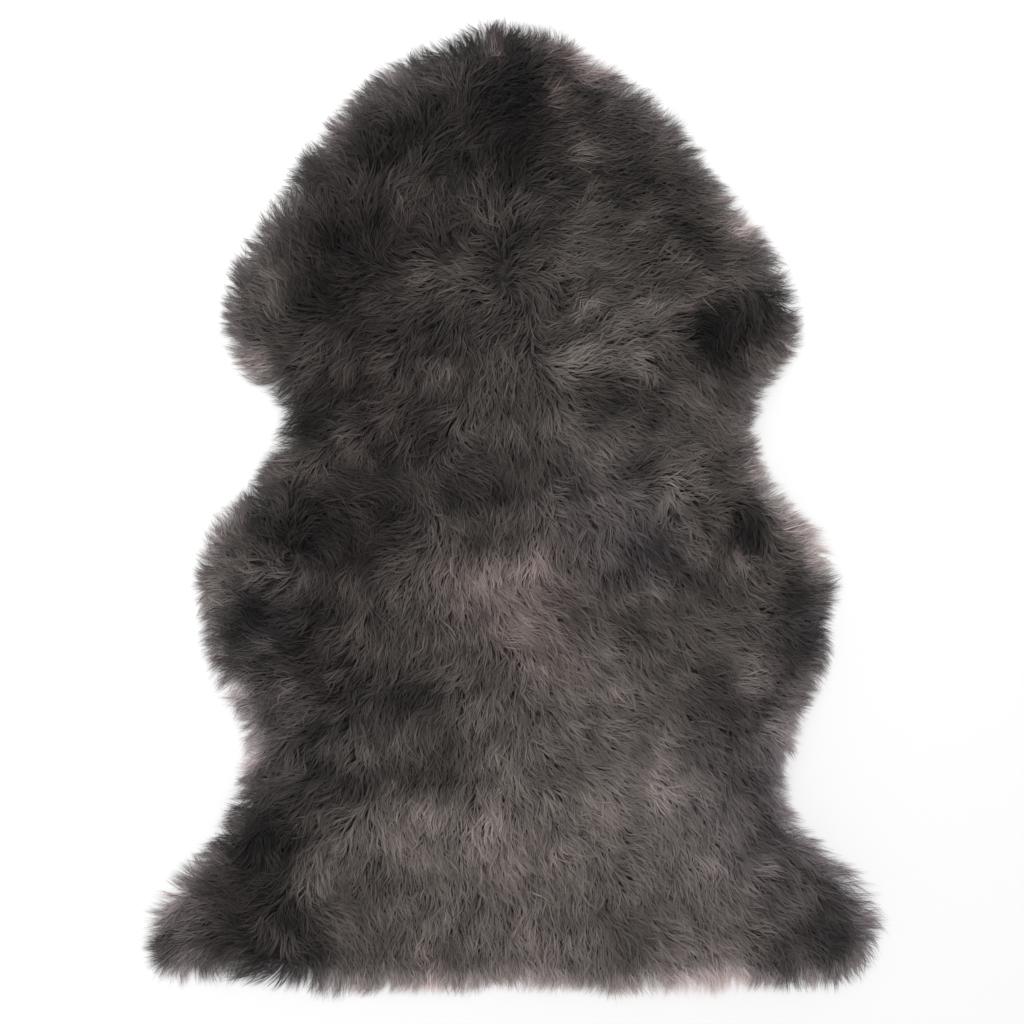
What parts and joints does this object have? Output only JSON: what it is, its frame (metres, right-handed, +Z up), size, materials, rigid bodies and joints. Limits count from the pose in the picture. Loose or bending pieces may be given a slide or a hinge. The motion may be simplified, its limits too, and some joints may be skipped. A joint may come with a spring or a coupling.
{
  "type": "sheepskin rug",
  "caption": "Flat single-pelt rug of long shaggy wool on a tanned skin, with a rounded neck end, a drawn-in waist, wide flanks and two spread corners at its tail end.",
  "frame": {"origin": "middle of the underside, on the surface that the rug lies on", "axes": "+Y from the tail end towards the neck end, +X to the right seen from above with the neck end up, +Z up through the wool"},
  "size_m": [0.7114, 0.9506, 0.0586],
  "materials": {
    "wool": "long soft wavy wool in clumped locks, warm grey-brown, darker at the roots and in the hollows, paler and slightly pink at the tips",
    "skin": "undyed suede side of the tanned skin, matt, on the underside"
  },
  "bodies": {
    "root": {"pelt": "wool"}
  },
  "joints": []
}
